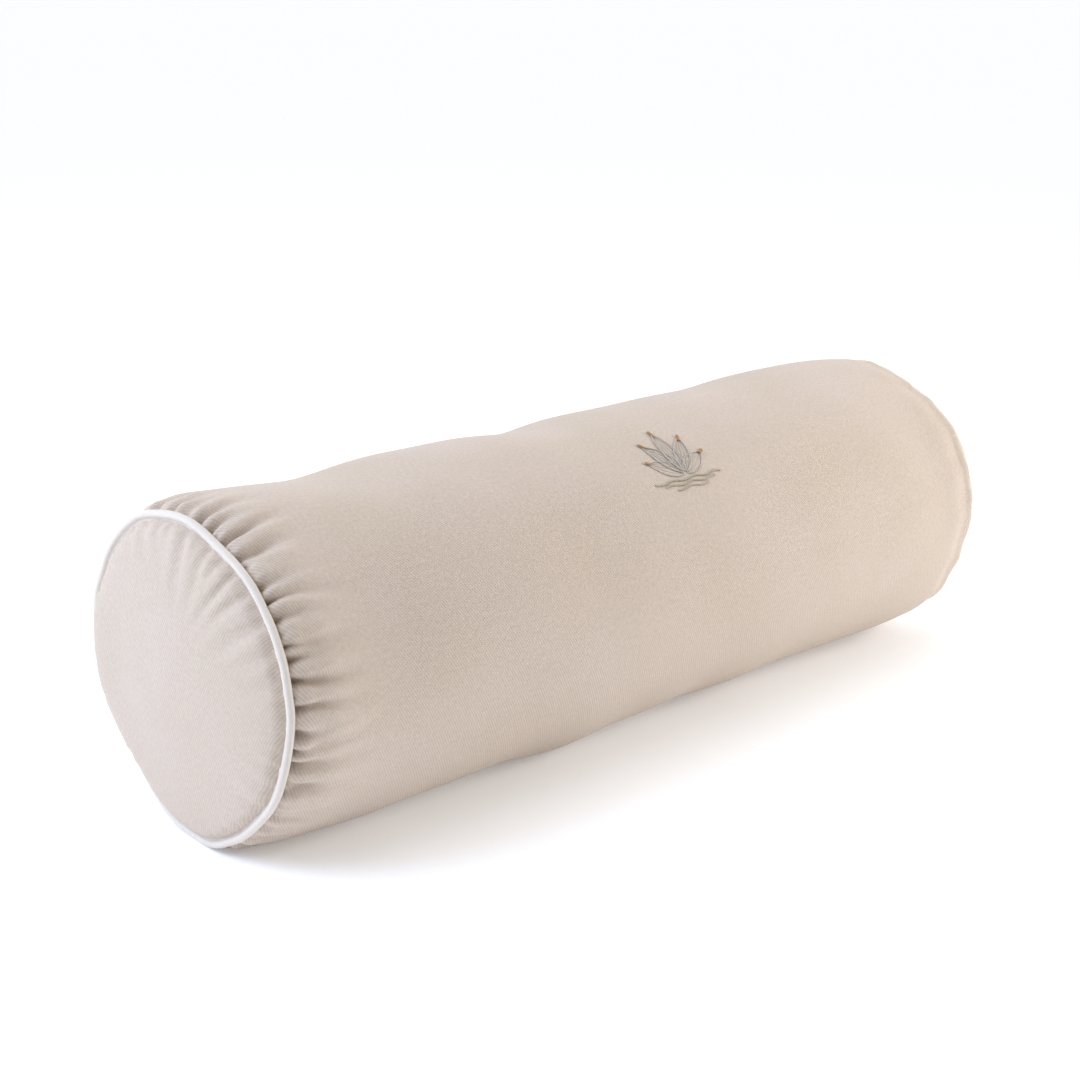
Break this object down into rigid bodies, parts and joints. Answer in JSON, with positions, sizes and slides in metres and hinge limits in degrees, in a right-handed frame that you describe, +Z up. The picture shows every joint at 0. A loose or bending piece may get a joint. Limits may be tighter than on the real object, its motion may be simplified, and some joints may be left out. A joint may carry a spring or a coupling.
{
  "type": "bolster pillow",
  "caption": "Round bolster pillow with a piped, embroidered twill cover, a zip along the back and a fibre-filled inner pad.",
  "frame": {"origin": "centre of the flat underside that the pillow rests on", "axes": "+X along the bolster, towards its right end; +Y towards the back, where the zip is; +Z up"},
  "size_m": [0.6282, 0.2025, 0.196],
  "materials": {
    "cover_twill": "warm ivory cotton twill with fine diagonal ribs",
    "piping_cloth": "white bias-cut cotton",
    "piping_cord": "twisted cotton cord",
    "sewing_thread": "spun polyester thread",
    "zip_tape": "woven polyester tape",
    "zip_coil": "nylon monofilament",
    "zip_stop": "clamped nickel-plated metal",
    "zip_metal": "nickel-plated die-cast zinc",
    "embroidery_grey": "silver-grey rayon satin stitch",
    "embroidery_bronze": "bronze rayon satin stitch",
    "stabiliser": "cut-away non-woven",
    "label_satin": "blank polyester satin",
    "case_cloth": "plain-weave cotton",
    "fibre": "hollow siliconised polyester fibre"
  },
  "bodies": {
    "bolster": {"care_label": "label_satin", "cover_body_panel": "cover_twill", "cover_end_panel_left": "cover_twill", "cover_end_panel_right": "cover_twill", "embroidery_backing": "stabiliser", "embroidery_petals": "embroidery_grey", "embroidery_ripples": "embroidery_bronze", "end_seam_thread_left": "sewing_thread", "end_seam_thread_right": "sewing_thread", "fibre_fill": "fibre", "inner_case_body": "case_cloth", "inner_case_end_left": "case_cloth", "inner_case_end_right": "case_cloth", "piping_cord_left": "piping_cord", "piping_cord_right": "piping_cord", "piping_sleeve_left": "piping_cloth", "piping_sleeve_right": "piping_cloth", "zip_bartacks": "sewing_thread", "zip_bottom_stop": "zip_stop", "zip_coil_lower": "zip_coil", "zip_coil_upper": "zip_coil", "zip_tape_lower": "zip_tape", "zip_tape_upper": "zip_tape", "zip_top_stops": "zip_stop", "zip_topstitch_lower": "sewing_thread", "zip_topstitch_upper": "sewing_thread"},
    "zip_slider": {"zip_slider_body": "zip_metal"},
    "zip_pull": {"zip_pull_tab": "zip_metal"}
  },
  "joints": [
    {"name": "zip_slide", "type": "slide", "parent": "bolster", "child": "zip_slider", "axis": [1, 0, 0], "range_m": [0, 0.4886]},
    {"name": "pull_flip", "type": "hinge", "parent": "zip_slider", "child": "zip_pull", "pos_m": [-0.2443, 0.1005, 0.11372], "axis": [0, -0.1736, 0.9848], "range_deg": [0, 180]}
  ]
}
